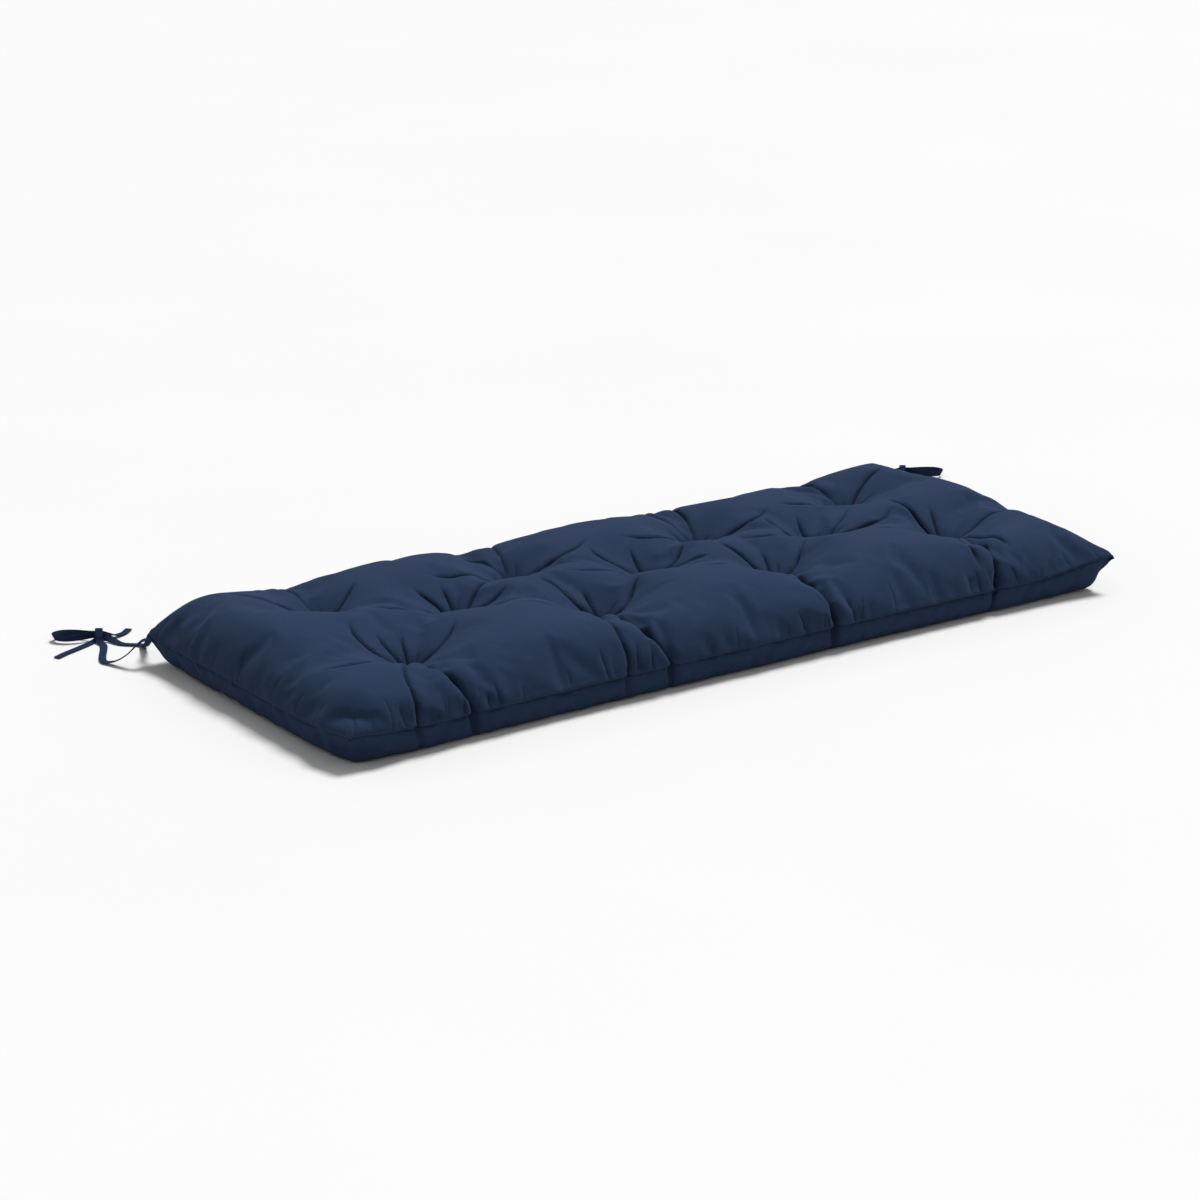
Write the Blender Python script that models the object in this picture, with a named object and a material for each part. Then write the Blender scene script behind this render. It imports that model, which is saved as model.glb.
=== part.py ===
"""Bench cushion, stitched through at eleven tufts, with a tied pair of tapes at each rear corner.

Metres, +Z up. The cushion lies on its back on z = 0, its long side along X and its tied rear edge towards +Y.
"""

import math

import bmesh
import bpy
import numpy as np

# Cushion, measured over the seam from corner to corner
LENGTH = 1.115
DEPTH = 0.452
CROWN = 0.086
SEAM_HEIGHT = 0.031
SIDE_PULL = 0.012
LEFT_END_PULL = 0.004
RIGHT_END_PULL = 0.014

# The four corners: each lifts off the surface, and some are filled less than others
CORNERS = [
    # side along X, side along Y, lift of the seam, share of the filling missing
    (-1, -1, 0.006, 0.06),
    (1, -1, 0.013, 0.40),
    (-1, 1, 0.003, 0.08),
    (1, 1, 0.010, 0.26),
]
CORNER_REACH = 0.135
CORNER_ROUND = 0.004

# How far in from the seam the cloth curves, above and below it, and how square the filling is at the corners
TOP_REACH = 0.052
UNDER_REACH = 0.022
TOP_ARC = 0.083
UNDER_ARC = 0.043
FULLNESS = 1.6

# Tufts: how deep each pulls the top and the underside, and how far the pull spreads
TUFT_DEPTH = 0.047
TUFT_CORE = 0.012
TUFT_SPREAD = 0.135
TUFT_POWER = 1.7
UNDER_TUFT_DEPTH = 0.012
UNDER_TUFT_SPREAD = 0.040

# Where the tufts are, in metres from the cushion's middle
TUFTS = [
    # name, x, y
    ("front_1", -0.393, -0.095),
    ("front_2", -0.126, -0.087),
    ("front_3", 0.137, -0.085),
    ("front_4", 0.402, -0.086),
    ("middle_1", -0.260, 0.014),
    ("middle_2", 0.016, 0.012),
    ("middle_3", 0.271, 0.010),
    ("rear_1", -0.393, 0.096),
    ("rear_2", -0.130, 0.096),
    ("rear_3", 0.146, 0.092),
    ("rear_4", 0.393, 0.101),
]

# Each puff is filled a little differently
PUFFS = [
    # x, y, extra height, reach
    (-0.500, 0.040, 0.012, 0.120),
    (-0.260, -0.120, 0.006, 0.110),
    (-0.260, 0.130, 0.004, 0.100),
    (0.005, -0.130, 0.006, 0.110),
    (0.010, 0.130, 0.002, 0.100),
    (0.270, -0.120, 0.003, 0.110),
    (0.270, 0.130, -0.006, 0.100),
    (0.500, 0.020, 0.006, 0.120),
]

# The main folds in the top panel, each an arc from a tuft, on the cloth as it lies open
FOLDS = [
    # tuft, heading from +X in degrees, length, bend in degrees, depth, width, where it ends
    ("front_1", 268, 0.190, 12, 0.024, 0.011, "seam"),
    ("front_1", 118, 0.085, -20, 0.009, 0.009, "puff"),
    ("front_1", 22, 0.080, 25, 0.009, 0.009, "puff"),
    ("front_1", 186, 0.120, -18, 0.006, 0.012, "puff"),
    ("front_1", 228, 0.110, 30, 0.006, 0.010, "puff"),
    ("front_2", 266, 0.190, 10, 0.025, 0.011, "seam"),
    ("front_2", 112, 0.095, -15, 0.010, 0.009, "puff"),
    ("front_2", 20, 0.080, 20, 0.009, 0.009, "puff"),
    ("front_2", 188, 0.110, -25, 0.005, 0.012, "puff"),
    ("front_2", 236, 0.150, 30, 0.008, 0.010, "puff"),
    ("front_3", 263, 0.190, 14, 0.025, 0.011, "seam"),
    ("front_3", 112, 0.075, -12, 0.009, 0.009, "puff"),
    ("front_3", 22, 0.085, 15, 0.009, 0.009, "puff"),
    ("front_3", 190, 0.100, -20, 0.005, 0.012, "puff"),
    ("front_4", 262, 0.190, 6, 0.020, 0.011, "seam"),
    ("front_4", 98, 0.090, -10, 0.010, 0.009, "puff"),
    ("front_4", 352, 0.105, 8, 0.009, 0.010, "puff"),
    ("front_4", 240, 0.140, 32, 0.007, 0.010, "puff"),
    ("middle_1", 122, 0.070, -15, 0.007, 0.009, "puff"),
    ("middle_1", 28, 0.085, 15, 0.009, 0.009, "puff"),
    ("middle_1", 182, 0.110, -10, 0.006, 0.012, "puff"),
    ("middle_1", 322, 0.130, 12, 0.006, 0.012, "puff"),
    ("middle_2", 128, 0.075, -20, 0.008, 0.009, "puff"),
    ("middle_2", 16, 0.080, 15, 0.009, 0.009, "puff"),
    ("middle_2", 216, 0.120, 10, 0.006, 0.012, "puff"),
    ("middle_2", 322, 0.120, 10, 0.006, 0.012, "puff"),
    ("middle_3", 122, 0.075, -15, 0.008, 0.009, "puff"),
    ("middle_3", 18, 0.080, 15, 0.008, 0.009, "puff"),
    ("middle_3", 216, 0.120, 10, 0.006, 0.012, "puff"),
    ("middle_3", 322, 0.120, 10, 0.006, 0.012, "puff"),
    ("rear_1", 92, 0.170, 8, 0.012, 0.011, "seam"),
    ("rear_1", 150, 0.100, 10, 0.007, 0.010, "puff"),
    ("rear_1", 20, 0.080, 10, 0.007, 0.010, "puff"),
    ("rear_2", 98, 0.170, 12, 0.013, 0.009, "seam"),
    ("rear_2", 72, 0.170, 12, 0.012, 0.009, "seam"),
    ("rear_2", 10, 0.080, -10, 0.006, 0.012, "puff"),
    ("rear_3", 100, 0.170, 12, 0.013, 0.009, "seam"),
    ("rear_3", 70, 0.170, 12, 0.012, 0.009, "seam"),
    ("rear_3", 10, 0.080, -10, 0.006, 0.012, "puff"),
    ("rear_4", 98, 0.170, 10, 0.013, 0.010, "seam"),
    ("rear_4", 20, 0.100, 10, 0.008, 0.010, "puff"),
]
FOLD_STEPS = 14
FOLD_START = 0.15
# A fold widens from the first share of its width at the tuft to both shares at its end
WIDTH_AT_TUFT = 0.6
WIDTH_GAINED = 0.6
FOLD_POWER = 1.3
# The soft roll beside each fold: its share of the depth, then how far off and how wide it is, in fold widths
ROLL_SHARE = 0.3
ROLL_PLACE = 2.4
ROLL_WIDTH = 1.2

# The tapes of the ties
TAPE_WIDTH = 0.009
TAPE_THICKNESS = 0.0012
TAPE_POINTS = 66
STEPS_BETWEEN = 12

# Each bow's knot, and the direction in which its loop lies, in degrees from +X
BOWS = [
    # name, knot x, knot y, loop direction, side of the loop that the corner is on
    ("left", -0.566, 0.334, 145, 1),
    ("right", 0.680, 0.326, -35, -1),
]

# From the corner to the knot, in the cushion's own axes
RUNS = {
    # x, y, z
    "left_looped": [
        (-0.5450, 0.2264, 0.0335),
        (-0.5440, 0.2380, 0.0310),
        (-0.5410, 0.2550, 0.0140),
        (-0.5370, 0.2720, 0.0038),
        (-0.5340, 0.2860, 0.0016),
    ],
    "left_wrapped": [
        (-0.5590, 0.2150, 0.0335),
        (-0.5690, 0.2190, 0.0305),
        (-0.5830, 0.2300, 0.0135),
        (-0.5930, 0.2440, 0.0038),
        (-0.5970, 0.2620, 0.0015),
    ],
    "right_looped": [
        (0.5450, 0.2262, 0.0405),
        (0.5480, 0.2380, 0.0370),
        (0.5560, 0.2560, 0.0150),
        (0.5670, 0.2710, 0.0038),
        (0.5840, 0.2880, 0.0016),
    ],
    "right_wrapped": [
        (0.5590, 0.2150, 0.0405),
        (0.5700, 0.2160, 0.0360),
        (0.5880, 0.2200, 0.0150),
        (0.6040, 0.2260, 0.0038),
        (0.6240, 0.2360, 0.0016),
    ],
}

# The rest of each tape, in the bow's own axes: along its loop, across towards the corner's side, and up.
# The last three columns are the way that the tape's face looks.
BOW_TAPES = {
    "looped": [
        # along, across, up, face along, face across, face up
        (-0.030, 0.016, 0.0013, 0, 0, 1),
        (-0.014, 0.005, 0.0040, 0, 0.7, 0.7),
        (0.000, 0.0018, 0.0078, 0, 1, 0.1),
        (0.012, -0.0025, 0.0070, 0, 1, 0.2),
        (0.028, -0.009, 0.0060, -0.2, 1, 0.4),
        (0.044, -0.010, 0.0056, -0.5, 0.8, 0.5),
        (0.053, -0.003, 0.0054, -1, 0.2, 0.5),
        (0.051, 0.006, 0.0054, -0.9, -0.5, 0.5),
        (0.038, 0.0105, 0.0056, -0.3, -1, 0.5),
        (0.022, 0.0075, 0.0064, 0.2, -1, 0.3),
        (0.010, 0.002, 0.0074, 0.2, -1, 0.1),
        (0.000, -0.0020, 0.0078, 0, -1, 0.1),
        (-0.009, -0.005, 0.0062, -0.2, -0.9, 0.5),
        (-0.019, -0.012, 0.0028, -0.2, -0.4, 1),
        (-0.027, -0.024, 0.0013, 0, 0, 1),
        (-0.031, -0.040, 0.0012, 0, 0, 1),
    ],
    "wrapped": [
        # along, across, up, face along, face across, face up
        (-0.010, 0.026, 0.0012, 0, 0, 1),
        (-0.004, 0.013, 0.0022, 0, 0.5, 1),
        (-0.002, 0.0080, 0.0085, 0, 1, 0.2),
        (-0.001, 0.000, 0.0150, 0, 0, 1),
        (0.000, -0.0080, 0.0095, 0, -1, 0.1),
        (0.001, -0.0072, 0.0030, 0, -1, -0.6),
        (0.002, -0.003, 0.0013, 0, 0, -1),
        (0.005, 0.006, 0.0012, 0, 0, -1),
        (0.011, 0.018, 0.0012, 0, 0, -1),
        (0.021, 0.034, 0.0012, 0, 0, -1),
        (0.032, 0.051, 0.0012, 0, 0, -1),
        (0.040, 0.066, 0.0012, 0, 0, -1),
    ],
}

# The mesh that the form is worked out on, before it is thinned
CELL = 0.007
RIM_ROWS = 7
TRIANGLES = 9000

TINY = 1e-9

NAVY = (0.020, 0.033, 0.075, 1.0)
TAPE_NAVY = (0.014, 0.024, 0.058, 1.0)


def clear_scene():
    for thing in list(bpy.data.objects):
        bpy.data.objects.remove(thing, do_unlink=True)


def fabric(name, colour):
    material = bpy.data.materials.new(name)
    material.use_nodes = True
    shader = material.node_tree.nodes["Principled BSDF"]
    shader.inputs["Base Color"].default_value = colour
    shader.inputs["Roughness"].default_value = 0.9
    shader.inputs["Metallic"].default_value = 0.0
    return material


def smooth_step(value):
    value = np.clip(value, 0.0, 1.0)
    return value * value * (3.0 - 2.0 * value)


def edge_curve(along, reach, arc):
    """How far in, and what share of the full height, the cloth is at a length along it from the seam."""
    turn = np.clip(along / arc, 0.0, 1.0) * math.pi / 2.0
    inset = reach * (1.0 - np.cos(turn)) + np.maximum(along - arc, 0.0)
    return inset, np.sin(turn)


def sheet_coordinates(half_size, reach, arc, count):
    """Lengths along the cloth from the middle, out to the seam at both ends."""
    half = half_size - reach + arc
    return np.linspace(-half, half, count + 1), half


def near_corner(x, y, side_x, side_y):
    """From 1 at a corner of the seam to 0 at CORNER_REACH from it."""
    far = np.hypot(x - side_x * LENGTH / 2.0, y - side_y * DEPTH / 2.0)
    return smooth_step(1.0 - far / CORNER_REACH)


def seam_height(x, y):
    """The seam rises towards the four corners."""
    height = np.full_like(x, SEAM_HEIGHT)
    for side_x, side_y, lift, _ in CORNERS:
        height += lift * near_corner(x, y, side_x, side_y)
    return height


def tuft_pull(x, y, depth, spread):
    """The dip around every tuft, steep beside its stitch and easing out into the puffs."""
    dip = np.zeros_like(x)
    scale = math.log(1.0 + spread / TUFT_CORE)
    for _, tuft_x, tuft_y in TUFTS:
        far = np.hypot(x - tuft_x, y - tuft_y)
        share = 1.0 - np.log(1.0 + far / TUFT_CORE) / scale
        dip = dip + depth * np.clip(share, 0.0, 1.0) ** TUFT_POWER
    return np.minimum(dip, depth)


def fold_path(tuft, heading, length, bend):
    """Points along a fold, in lengths along the cloth from the middle of the panel."""
    at = np.array({name: (x, y) for name, x, y in TUFTS}[tuft])
    points = [at]
    for step in range(FOLD_STEPS):
        turn = math.radians(heading + bend * (step + 0.5) / FOLD_STEPS)
        at = at + length / FOLD_STEPS * np.array([math.cos(turn), math.sin(turn)])
        points.append(at)
    return np.array(points)


def distance_to_path(u, v, path):
    """Each point's distance from a path, and the share of the way along it of the nearest place."""
    nearest = np.full_like(u, np.inf)
    along = np.zeros_like(u)
    pieces = len(path) - 1
    for k in range(pieces):
        start, run = path[k], path[k + 1] - path[k]
        share = ((u - start[0]) * run[0] + (v - start[1]) * run[1]) / (run @ run)
        share = np.clip(share, 0.0, 1.0)
        far = np.hypot(u - start[0] - share * run[0], v - start[1] - share * run[1])
        closer = far < nearest
        nearest = np.where(closer, far, nearest)
        along = np.where(closer, (k + share) / pieces, along)
    return nearest, along


def fold_depth(u, v):
    """How far every fold draws the cloth in, less the soft roll that stands up beside it."""
    drawn = np.zeros_like(u)
    for tuft, heading, length, bend, depth, width, end in FOLDS:
        far, along = distance_to_path(u, v, fold_path(tuft, heading, length, bend))
        reach = np.minimum(along / FOLD_START, 1.0)
        if end == "puff":
            reach = reach * (1.0 - along**2)
        spread = width * (WIDTH_AT_TUFT + WIDTH_GAINED * along)
        trough = np.exp(-((far / spread) ** FOLD_POWER))
        roll = np.exp(-(((far - ROLL_PLACE * spread) / (ROLL_WIDTH * spread)) ** 2))
        drawn += depth * reach * (trough - ROLL_SHARE * roll)
    return drawn


def outward(points):
    """Unit normals of a grid of points, from its own lines."""
    along_u = np.gradient(points, axis=0)
    along_v = np.gradient(points, axis=1)
    normal = np.cross(along_u, along_v)
    return normal / np.linalg.norm(normal, axis=-1, keepdims=True)


def crown_height(x, y):
    """Height of the filled top above the seam, before the tufts pull it in."""
    height = np.full_like(x, CROWN - SEAM_HEIGHT)
    for puff_x, puff_y, extra, reach in PUFFS:
        height += extra * np.exp(-((x - puff_x) ** 2 + (y - puff_y) ** 2) / reach**2)
    for side_x, side_y, _, missing in CORNERS:
        height *= 1.0 - missing * near_corner(x, y, side_x, side_y)
    return height


def outline_pull(x, y, rise):
    """The sides draw in between the corners, and the filling rounds off above and below each corner."""
    along_x = np.clip(np.abs(x) / (LENGTH / 2.0), 0.0, 1.0)
    along_y = np.clip(np.abs(y) / (DEPTH / 2.0), 0.0, 1.0)
    side = SIDE_PULL * (1.0 - along_x**4) * along_y**3
    pull = np.where(x < 0.0, LEFT_END_PULL, RIGHT_END_PULL)
    end = pull * (1.0 - along_y**3) * along_x**6
    drawn_x, drawn_y = x - np.sign(x) * end, y - np.sign(y) * side
    for side_x, side_y, _, _ in CORNERS:
        rounded = CORNER_ROUND * near_corner(x, y, side_x, side_y) * smooth_step(2.0 * rise)
        drawn_x = drawn_x - side_x * rounded
        drawn_y = drawn_y - side_y * rounded
    return drawn_x, drawn_y


def panel(columns, rows, top):
    """The points of one panel of the cover, as a grid of columns by rows."""
    reach, arc = (TOP_REACH, TOP_ARC) if top else (UNDER_REACH, UNDER_ARC)
    u, half_u = sheet_coordinates(LENGTH / 2.0, reach, arc, columns)
    v, half_v = sheet_coordinates(DEPTH / 2.0, reach, arc, rows)
    u, v = np.meshgrid(u, v, indexing="ij")
    inset_x, rise_x = edge_curve(half_u - np.abs(u), reach, arc)
    inset_y, rise_y = edge_curve(half_v - np.abs(v), reach, arc)
    x = np.sign(u) * (LENGTH / 2.0 - inset_x)
    y = np.sign(v) * (DEPTH / 2.0 - inset_y)
    least = np.maximum(np.minimum(rise_x, rise_y), TINY)
    most = np.maximum(np.maximum(rise_x, rise_y), TINY)
    rise = (least**-FULLNESS + most**-FULLNESS - 1.0) ** (-1.0 / FULLNESS)
    seam = seam_height(x, y)
    if top:
        height = crown_height(x, y) - tuft_pull(x, y, TUFT_DEPTH, TUFT_SPREAD)
        z = seam + height * rise
    else:
        dip = tuft_pull(x, y, UNDER_TUFT_DEPTH, UNDER_TUFT_SPREAD)
        z = seam * (1.0 - rise) + dip * rise
    x, y = outline_pull(x, y, rise)
    points = np.stack([x, y, z], axis=-1)
    if top:
        points -= outward(points) * fold_depth(u, v)[..., None]
    return points


def follow_rim(under, top):
    """Draw the under panel in wherever the folds draw the seam in, less and less towards where it rests."""
    plain = [under[:, 0], under[:, -1], under[0], under[-1]]
    drawn = [top[:, 0], top[:, -1], top[0], top[-1]]
    shift = [folded - flat for folded, flat in zip(drawn, plain)]
    columns, rows = under.shape[0] - 1, under.shape[1] - 1
    moved = under.copy()
    for k in range(1, max(columns, rows)):
        fade = max(0.0, 1.0 - k / RIM_ROWS) ** 2
        if k < rows:
            moved[1:-1, k] += shift[0][1:-1] * fade
            moved[1:-1, rows - k] += shift[1][1:-1] * fade
        if k < columns:
            moved[k, 1:-1] += shift[2][1:-1] * fade
            moved[columns - k, 1:-1] += shift[3][1:-1] * fade
    moved[..., 2] = np.maximum(moved[..., 2], 0.0)
    return moved


def cushion_mesh():
    columns = int(round((LENGTH + 2.0 * (TOP_ARC - TOP_REACH)) / CELL))
    rows = int(round((DEPTH + 2.0 * (TOP_ARC - TOP_REACH)) / CELL))
    top = panel(columns, rows, True)
    under = follow_rim(panel(columns, rows, False), top)
    last_column, last_row = columns - 1, rows - 1
    tips = {(i, j) for i in (1, last_column) for j in (1, last_row)}
    for i, j in tips:
        top[i, j] = top[0 if i == 1 else columns, 0 if j == 1 else rows]
    mesh = bmesh.new()
    points = {}
    for i in range(columns + 1):
        for j in range(rows + 1):
            on_end, on_side = i in (0, columns), j in (0, rows)
            if on_end and on_side:
                continue
            points["top", i, j] = mesh.verts.new(top[i, j])
            shared = on_end or on_side or (i, j) in tips
            points["under", i, j] = points["top", i, j] if shared else mesh.verts.new(under[i, j])
    for i in range(columns):
        for j in range(rows):
            if i in (0, last_column) and j in (0, last_row):
                continue
            cell = [(i, j), (i + 1, j), (i + 1, j + 1), (i, j + 1)]
            mesh.faces.new([points["top", k, m] for k, m in cell])
            mesh.faces.new([points["under", k, m] for k, m in reversed(cell)])
    data = bpy.data.meshes.new("cushion")
    mesh.to_mesh(data)
    mesh.free()
    return data


def add_object(name, data, material):
    thing = bpy.data.objects.new(name, data)
    thing.data.materials.append(material)
    bpy.context.scene.collection.objects.link(thing)
    return thing


def add_cushion(material):
    cushion = add_object("cushion", cushion_mesh(), material)
    cushion.data.shade_smooth()
    thin = cushion.modifiers.new("thin", "DECIMATE")
    thin.ratio = TRIANGLES / (2.0 * len(cushion.data.polygons))
    return cushion


def tape_route(side, kind, knot_x, knot_y, direction, corner_side):
    """Rows of a tape's own points from the seam to its free end, and the way its face looks at each."""
    angle = math.radians(direction)
    along = np.array([math.cos(angle), math.sin(angle), 0.0])
    across = np.array([-math.sin(angle), math.cos(angle), 0.0]) * corner_side
    up = np.array([0.0, 0.0, 1.0])
    knot = np.array([knot_x, knot_y, 0.0])
    route = [np.append(point, up) for point in RUNS[side + "_" + kind]]
    for forward, sideways, height, *face in BOW_TAPES[kind]:
        point = knot + forward * along + sideways * across + height * up
        route.append(np.append(point, face[0] * along + face[1] * across + face[2] * up))
    return np.array(route)


def smooth_route(route, count):
    """A smooth curve through the route's points, read off at even steps."""
    ends = np.vstack([2.0 * route[0] - route[1], route, 2.0 * route[-1] - route[-2]])
    fine = []
    for before, start, end, after in zip(ends, ends[1:], ends[2:], ends[3:]):
        for t in np.linspace(0.0, 1.0, STEPS_BETWEEN, endpoint=False):
            bend = 2.0 * before - 5.0 * start + 4.0 * end - after
            twist = 3.0 * start - before - 3.0 * end + after
            fine.append(0.5 * (2.0 * start + (end - before) * t + bend * t**2 + twist * t**3))
    fine = np.array(fine + [route[-1]])
    step = np.linalg.norm(np.diff(fine[:, :3], axis=0), axis=1)
    length = np.concatenate([[0.0], np.cumsum(step)])
    places = np.linspace(0.0, length[-1], count)
    return np.stack([np.interp(places, length, column) for column in fine.T], axis=1)


def tape_mesh(name, route):
    """A flat band along the route, its face turned as the route says."""
    rows = smooth_route(route, TAPE_POINTS)
    points, faces = rows[:, :3], rows[:, 3:]
    tangents = np.gradient(points, axis=0)
    tangents /= np.linalg.norm(tangents, axis=1, keepdims=True)
    mesh = bmesh.new()
    rings = []
    for point, tangent, face in zip(points, tangents, faces):
        face = face - tangent * (face @ tangent)
        face = face / np.linalg.norm(face)
        width = np.cross(tangent, face) * TAPE_WIDTH / 2.0
        depth = face * TAPE_THICKNESS / 2.0
        corners = [width + depth, depth - width, -width - depth, width - depth]
        rings.append([mesh.verts.new(point + corner) for corner in corners])
    for ring, following in zip(rings, rings[1:]):
        for k in range(4):
            mesh.faces.new([ring[k], ring[k - 1], following[k - 1], following[k]])
    mesh.faces.new(rings[0])
    mesh.faces.new(rings[-1][::-1])
    bmesh.ops.recalc_face_normals(mesh, faces=mesh.faces)
    data = bpy.data.meshes.new(name)
    mesh.to_mesh(data)
    mesh.free()
    return data


def add_ties(material):
    for side, knot_x, knot_y, direction, corner_side in BOWS:
        for kind in BOW_TAPES:
            name = f"tie_{side}_{kind}"
            route = tape_route(side, kind, knot_x, knot_y, direction, corner_side)
            add_object(name, tape_mesh(name, route), material)


def main():
    clear_scene()
    cover = fabric("navy_cotton", NAVY)
    tape = fabric("navy_tape", TAPE_NAVY)
    add_cushion(cover)
    add_ties(tape)


main()
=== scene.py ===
"""Looks of the bench cushion: a tufted cover of navy cotton, filled by a simulation, and its tied tapes.

Metres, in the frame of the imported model. The top panel, the under panel and the tapes are woven cloth,
and their fine creases, puckers and stitches are modelled on the simulated form.
"""

import math

import bpy
import numpy as np
from mathutils import Matrix, Vector


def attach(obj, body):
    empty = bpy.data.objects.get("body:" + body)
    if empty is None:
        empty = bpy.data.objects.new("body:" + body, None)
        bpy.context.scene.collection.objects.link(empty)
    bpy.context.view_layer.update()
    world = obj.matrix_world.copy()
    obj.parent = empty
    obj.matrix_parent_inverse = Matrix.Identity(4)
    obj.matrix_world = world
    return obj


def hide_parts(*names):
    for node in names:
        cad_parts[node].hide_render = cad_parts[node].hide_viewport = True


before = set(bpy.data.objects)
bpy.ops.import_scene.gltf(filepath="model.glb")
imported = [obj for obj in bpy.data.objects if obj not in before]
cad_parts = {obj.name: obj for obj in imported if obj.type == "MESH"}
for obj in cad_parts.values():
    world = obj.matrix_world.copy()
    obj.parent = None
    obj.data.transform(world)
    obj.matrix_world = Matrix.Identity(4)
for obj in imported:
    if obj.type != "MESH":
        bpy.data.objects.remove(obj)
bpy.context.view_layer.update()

# Camera: where it stands, how it is turned, and its lens
CAMERA_PLACE = (-2.273, -3.139, 1.294)
CAMERA_TURN = -35.1
CAMERA_TILT = 71.97
CAMERA_ROLL = -0.12
CAMERA_LENS = 101.15
SENSOR = 36.0

# Studio light: a broad soft key from above the right end, and even light from all round
KEY_FROM = (0.50, 0.15, 1.0)
KEY_STRENGTH = 3.9
KEY_SOFTNESS = 20.0
AMBIENT = 0.50

# Cushion, measured over the seam from corner to corner. It starts low, because the cloth swells
LENGTH = 1.115
DEPTH = 0.452
CROWN = 0.077
SEAM_HEIGHT = 0.031

# How far the sides and ends draw in, and how the pull eases off towards the corners and inwards
SIDE_PULL = 0.012
LEFT_END_PULL = 0.004
RIGHT_END_PULL = 0.014
SIDE_BOW = 4
SIDE_EASE = 3
END_BOW = 3
END_EASE = 6

# The four corners: each is lifted off the surface, and some are filled less than others
CORNERS = [
    # side along X, side along Y, lift of the seam, share of the filling missing, how far the tip is drawn in
    (-1, -1, 0.006, 0.00, 0.008),
    (1, -1, 0.013, 0.38, 0.000),
    (-1, 1, 0.002, 0.02, 0.000),
    (1, 1, 0.010, 0.26, 0.003),
]
TIP_REACH = 0.060
CORNER_REACH = 0.135
CORNER_ROUND = 0.006

# How far in from the seam the cloth curves, its length over that curve, and how full the filling is between
TOP_REACH = 0.052
UNDER_REACH = 0.019
TOP_ARC = 0.083
UNDER_ARC = 0.041
FULLNESS = 1.6

# Tufts: how deep each pulls the top and the underside, how far the pull spreads, and how steep its front is
TUFT_DEPTH = 0.047
TUFT_CORE = 0.012
TUFT_SPREAD = 0.135
UNDER_TUFT_DEPTH = 0.012
UNDER_TUFT_SPREAD = 0.040
LIP_STEEPNESS = 0.28
TUFT_POWER = 1.7

# Where the tufts are
TUFTS = {
    "front_1": (-0.393, -0.095),
    "front_2": (-0.126, -0.087),
    "front_3": (0.137, -0.085),
    "front_4": (0.402, -0.086),
    "middle_1": (-0.260, 0.014),
    "middle_2": (0.016, 0.012),
    "middle_3": (0.271, 0.010),
    "rear_1": (-0.393, 0.096),
    "rear_2": (-0.130, 0.096),
    "rear_3": (0.146, 0.092),
    "rear_4": (0.393, 0.101),
}

# Each puff is filled a little differently
PUFFS = [
    # x, y, extra height, reach
    (-0.500, 0.040, 0.012, 0.120),
    (-0.260, -0.120, 0.006, 0.110),
    (-0.260, 0.130, 0.004, 0.100),
    (0.005, -0.130, 0.006, 0.110),
    (0.010, 0.130, 0.002, 0.100),
    (0.270, -0.120, 0.003, 0.110),
    (0.270, 0.130, -0.006, 0.100),
    (0.500, 0.020, 0.006, 0.120),
]

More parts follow.
